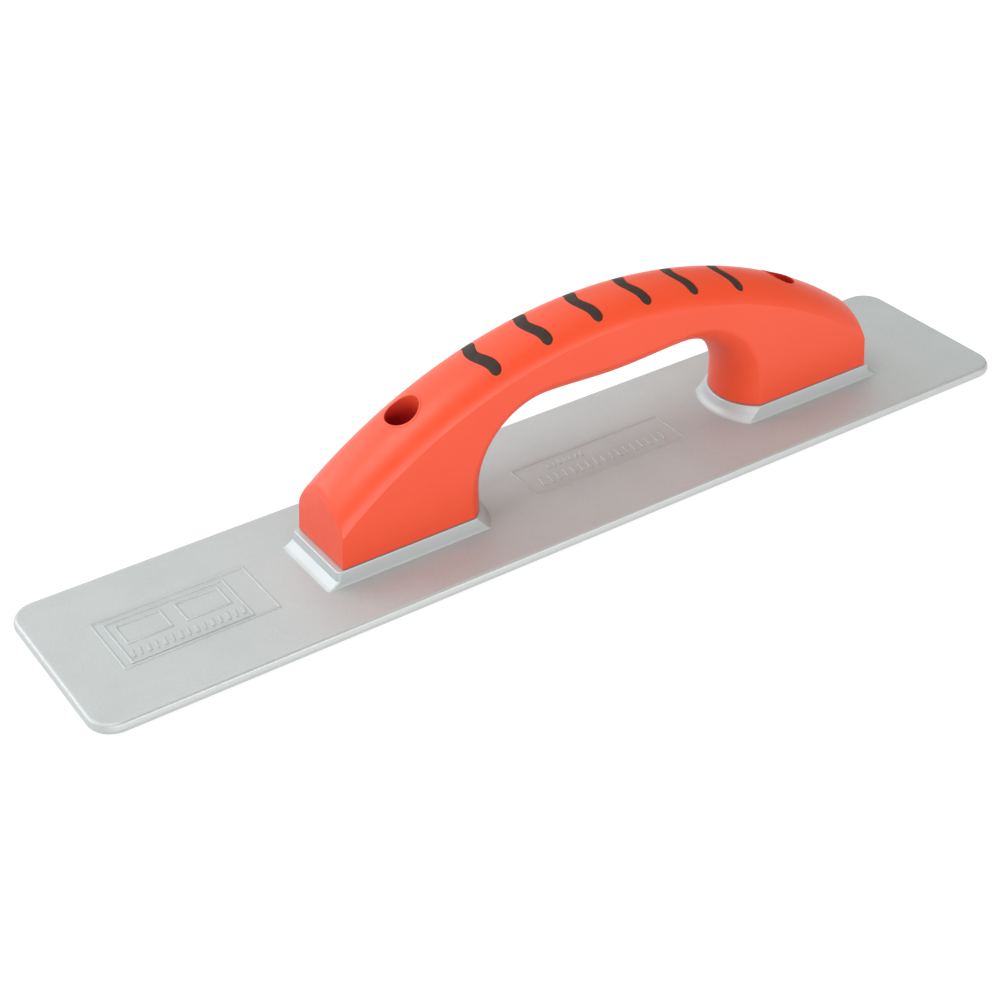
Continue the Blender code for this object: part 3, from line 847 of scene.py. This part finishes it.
def stripe_section(middle, along, half, low, high, dome, steps=8):
    """One ring across a stripe: over its domed top, and back along its floor."""
    across = Vector((along.y, -along.x))
    top = []
    floor = []
    for i in range(steps + 1):
        share = 2 * i / steps - 1
        spot = middle + across * half * share
        point, normal = crown_point(spot.x, spot.y)
        top.append(point + normal * (high - dome * share ** 4))
        floor.append(point + normal * low)
    return top + floor[::-1]


def stripe_solid(middle, clearance, low, high, dome=0.0, span_steps=30, cap_steps=6):
    """A wavy bar with round ends that follows the crown, from low to high above it."""
    half = STRIPE_HALF_WIDTH + clearance
    turns = [math.pi / 2 * i / cap_steps for i in range(1, cap_steps)]
    cap = [-STRIPE_HALF_SPAN - half * math.cos(turn) for turn in turns]
    span = [STRIPE_HALF_SPAN * (2 * i / span_steps - 1) for i in range(span_steps + 1)]
    rings = []
    for y in cap + span + [-stop for stop in cap[::-1]]:
        beyond = max(abs(y) - STRIPE_HALF_SPAN, 0.0)
        held = max(-STRIPE_HALF_SPAN, min(STRIPE_HALF_SPAN, y))
        slope = (stripe_spine(held + 1e-5) - stripe_spine(held - 1e-5)) / 2e-5
        along = Vector((slope, 1.0)).normalized()
        spot = Vector((middle + stripe_spine(held), held)) + along * math.copysign(beyond, y)
        width = math.sqrt(max(half * half - beyond * beyond, 0.0))
        rings.append(stripe_section(spot, along, width, low, high, dome))
    return loft(rings)


def stripe_middles():
    """Where each stripe's centre line lies along the handle."""
    return [
        STRIPE_SHIFT + STRIPE_PITCH * (i - (STRIPE_COUNT - 1) / 2) for i in range(STRIPE_COUNT)
    ]


def counterbore_lip(x, steps=96, section_steps=12):
    """The rolled rim of a counterbore, a round bead that follows the crown."""
    rings = []
    for i in range(steps):
        turn = math.tau * i / steps
        ring = []
        for j in range(section_steps):
            roll = math.tau * j / section_steps
            radius = COUNTERBORE_RADIUS + LIP_WIDTH / 2 * (1 + math.cos(roll)) - LIP_OVERLAP
            point, normal = crown_point(x + radius * math.cos(turn), radius * math.sin(turn))
            ring.append(point + normal * (LIP_HEIGHT * (math.sin(roll) + 0.1)))
        rings.append(ring)
    return loft(rings, closed=True)


def build_grip(material):
    grip = object_from("grip_skin", handle_solid(0.0, FOOT_Z))
    bevel_by_weight(grip, GAP_CREASE_ROUND, 4)
    combine(grip, "UNION", merged(counterbore_lip(-SCREW_X), counterbore_lip(SCREW_X)))
    cavity_bm = handle_solid(GRIP_WALL, FOOT_Z - CAVITY_OVERRUN, along=48, across=12, rounded=False)
    cavity = object_from("cavity", cavity_bm)
    linings = [
        cylinder(LINING_RADIUS, WASHER_LOW.z, CREST_TOP_Z, side * SCREW_X) for side in (-1, 1)
    ]
    combine(cavity, "DIFFERENCE", merged(*linings))
    hollow = bmesh.new()
    hollow.from_mesh(cavity.data)
    bpy.data.objects.remove(cavity, do_unlink=True)
    combine(grip, "DIFFERENCE", hollow)
    bores = [
        cylinder(COUNTERBORE_RADIUS, FOOT_Z, CREST_TOP_Z + BORE_OVERRUN, side * SCREW_X)
        for side in (-1, 1)
    ]
    combine(grip, "DIFFERENCE", merged(*bores))
    grooves = [
        stripe_solid(middle, GROOVE_CLEARANCE, -GROOVE_DEPTH, GROOVE_OVERRUN)
        for middle in stripe_middles()
    ]
    combine(grip, "DIFFERENCE", merged(*grooves))
    grip.data.transform(Matrix.Translation((HANDLE_SHIFT, 0, 0)))
    finish_piece(grip, material, "handle_grip", sharp=38)


def build_stripes(material):
    for index, middle in enumerate(stripe_middles()):
        solid = stripe_solid(middle, 0.0, -STRIPE_DEPTH, -STRIPE_SINK, dome=STRIPE_DOME)
        stripe = object_from(f"stripe_inlay_{index + 1}", shifted(solid, HANDLE_SHIFT))
        finish_piece(stripe, material, f"grip_stripe_{index + 1}")


# Fasteners --------------------------------------------------------------------------------------


def screw_profile():
    """(radius, z) of a threaded pan-head screw, from its crown to its tip, in its CAD box."""
    bottom = WASHER_HIGH.z + HEAD_CLEARANCE
    head_radius = (SCREW_HIGH.x - SCREW_LOW.x) / 2
    height = SCREW_HIGH.z - bottom
    dome = []
    for i in range(11):
        turn = math.pi / 2 * i / 10
        share = HEAD_WALL_SHARE + HEAD_DOME_SHARE * math.cos(turn)
        dome.append((head_radius * math.sin(turn), bottom + height * share))
    edge = [(head_radius, bottom + SCREW_CHAMFER), (head_radius - SCREW_CHAMFER, bottom)]
    shank = [(SCREW_RADIUS + SCREW_CHAMFER, bottom), (SCREW_RADIUS, bottom - SCREW_CHAMFER)]
    thread = []
    z = bottom - PLAIN_SHANK
    while z > SCREW_LOW.z + TIP_LENGTH:
        thread += [
            (SCREW_RADIUS - THREAD_DEPTH * depth, z - THREAD_PITCH * share)
            for share, depth in THREAD_SHAPE
        ]
        z -= THREAD_PITCH
    tip = [
        (SCREW_RADIUS, z), (SCREW_RADIUS * 0.72, SCREW_LOW.z + TIP_CHAMFER),
        (SCREW_RADIUS * 0.66, SCREW_LOW.z), (0, SCREW_LOW.z),
    ]
    return dome + edge + shank + thread + tip


def recess_arm(turn):
    """A tapered slot of the cross recess, at the screw's axis."""
    rings = []
    for z, size in (
        (SCREW_HIGH.z - RECESS_DEPTH, RECESS_FLOOR),
        (SCREW_HIGH.z - RECESS_DEPTH * 0.8, RECESS_SHOULDER),
        (SCREW_HIGH.z + RECESS_OVERRUN, RECESS_MOUTH),
    ):
        corners = rectangle(0, 0, *size)
        rings.append([Matrix.Rotation(turn, 3, "Z") @ Vector((x, y, z)) for x, y in corners])
    return loft(rings)


def build_screws(material):
    for name, side in FASTENER_SIDES:
        screw = object_from(f"pan_head_screw_{name}", lathe(screw_profile()))
        for arm in (0, 90):
            combine(screw, "DIFFERENCE", recess_arm(math.radians(SCREW_TURNS[name] + arm)))
        screw.data.transform(Matrix.Translation((HANDLE_SHIFT + side * SCREW_X, 0, 0)))
        finish_piece(screw, material, f"handle_screw_{name}")


def washer_profile():
    """(radius, z) round a stamped washer, rounded over on its punched side."""
    outer = (WASHER_HIGH.x - WASHER_LOW.x) / 2
    hole = WASHER_HOLE_RADIUS
    low, high = WASHER_LOW.z, WASHER_HIGH.z
    return [
        (hole, low), (outer - WASHER_CHAMFER, low), (outer, low + WASHER_CHAMFER),
        (outer, high - WASHER_ROLLOVER), (outer - WASHER_CHAMFER, high - WASHER_CHAMFER),
        (outer - WASHER_ROLLOVER, high), (hole + WASHER_HOLE_ROLLOVER, high),
        (hole, high - WASHER_HOLE_ROLLOVER), (hole, low),
    ]


def build_washers(material):
    for name, side in FASTENER_SIDES:
        washer = object_from(f"flat_washer_{name}", lathe(washer_profile()))
        washer.data.transform(Matrix.Translation((HANDLE_SHIFT + side * SCREW_X, 0, 0)))
        finish_piece(washer, material, f"screw_washer_{name}")


def finish_core(material):
    """Gives the core, which keeps its CAD mesh, its material."""
    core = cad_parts["handle_core"]
    core.data.materials.clear()
    core.data.materials.append(material)


# Studio -----------------------------------------------------------------------------------------


def build_floor():
    """A plain white floor, part lit and part glowing, so that it carries hardly any shadow."""
    bm = bmesh.new()
    bmesh.ops.create_grid(bm, x_segments=1, y_segments=1, size=FLOOR_SIZE / 2)
    bmesh.ops.translate(bm, vec=(0, 0, -FLOOR_DROP), verts=bm.verts)
    floor = object_from("studio_floor", bm)
    paper = Surface("white_paper", PAPER, roughness=0.9)
    paper.shader.inputs["Emission Color"].default_value = (1, 1, 1, 1)
    paper.shader.inputs["Emission Strength"].default_value = FLOOR_GLOW
    floor.data.materials.append(paper.material)


def add_area(name, place, target, size, power):
    """A white rectangular light at place, facing target. The power is in watts."""
    light = bpy.data.lights.new(name, "AREA")
    light.shape = "RECTANGLE"
    light.size, light.size_y = size
    light.energy = power
    obj = bpy.data.objects.new(name, light)
    bpy.context.scene.collection.objects.link(obj)
    obj.location = place
    aim = Vector(target) - Vector(place)
    obj.rotation_euler = aim.to_track_quat("-Z", "Y").to_euler()


def build_sky():
    """A plain pale surround, brighter and cooler at the back left and close to the horizon."""
    world = bpy.data.worlds.new("studio")
    bpy.context.scene.world = world
    world.use_nodes = True
    nodes, links = world.node_tree.nodes, world.node_tree.links
    direction = nodes.new("ShaderNodeTexCoord").outputs["Generated"]

    towards_light = nodes.new("ShaderNodeVectorMath")
    towards_light.operation = "DOT_PRODUCT"
    towards_light.inputs[1].default_value = SKY_AXIS
    links.new(direction, towards_light.inputs[0])
    share = nodes.new("ShaderNodeMapRange")
    share.interpolation_type = "SMOOTHSTEP"
    share.inputs["From Min"].default_value, share.inputs["From Max"].default_value = SKY_SPREAD
    links.new(towards_light.outputs["Value"], share.inputs["Value"])

    height = nodes.new("ShaderNodeSeparateXYZ")
    links.new(direction, height.inputs["Vector"])
    low = nodes.new("ShaderNodeMath")
    low.operation = "LESS_THAN"
    low.inputs[1].default_value = SKY_LOW_BAND
    links.new(height.outputs["Z"], low.inputs[0])

    level = nodes.new("ShaderNodeMath")
    level.operation = "MAXIMUM"
    links.new(share.outputs["Result"], level.inputs[0])
    links.new(low.outputs["Value"], level.inputs[1])
    strength = nodes.new("ShaderNodeMapRange")
    strength.inputs["To Min"].default_value, strength.inputs["To Max"].default_value = SKY_STRENGTH
    links.new(level.outputs["Value"], strength.inputs["Value"])
    colour = nodes.new("ShaderNodeMix")
    colour.data_type = "RGBA"
    colour.inputs["A"].default_value = SKY_DIM
    colour.inputs["B"].default_value = SKY_BRIGHT
    links.new(level.outputs["Value"], colour.inputs["Factor"])
    background = nodes["Background"]
    links.new(colour.outputs["Result"], background.inputs["Color"])
    links.new(strength.outputs["Result"], background.inputs["Strength"])


def build_lights():
    add_area("back_left_box", (-1.1, 1.3, 0.85), (-0.1, 0, 0.02), size=(1.4, 0.8), power=6)
    add_area("overhead_box", (-0.62, -0.05, 1.45), (0, 0, 0.02), size=(0.6, 0.6), power=6)
    add_area("front_strip", (-0.1, -1.5, 0.42), (0, 0, 0.04), size=(2.6, 0.5), power=20)


def build_camera():
    camera = bpy.data.objects.new("camera", bpy.data.cameras.new("camera"))
    bpy.context.scene.collection.objects.link(camera)
    camera.data.lens = CAMERA_LENS
    camera.data.sensor_width = 36.0
    camera.data.clip_start = 0.01
    turn = (
        Matrix.Rotation(-CAMERA_YAW, 4, "Z")
        @ Matrix.Rotation(math.pi / 2 + CAMERA_PITCH, 4, "X")
        @ Matrix.Rotation(CAMERA_ROLL, 4, "Z")
    )
    camera.matrix_world = Matrix.Translation(CAMERA_PLACE) @ turn
    bpy.context.scene.camera = camera


bpy.context.scene.view_settings.view_transform = "Standard"
build_camera()
build_sky()
build_lights()
build_floor()
build_blade(magnesium_surface())
build_grip(orange_surface())
build_stripes(stripe_surface())
steel = steel_surface()
build_screws(steel)
build_washers(steel)
finish_core(core_surface())
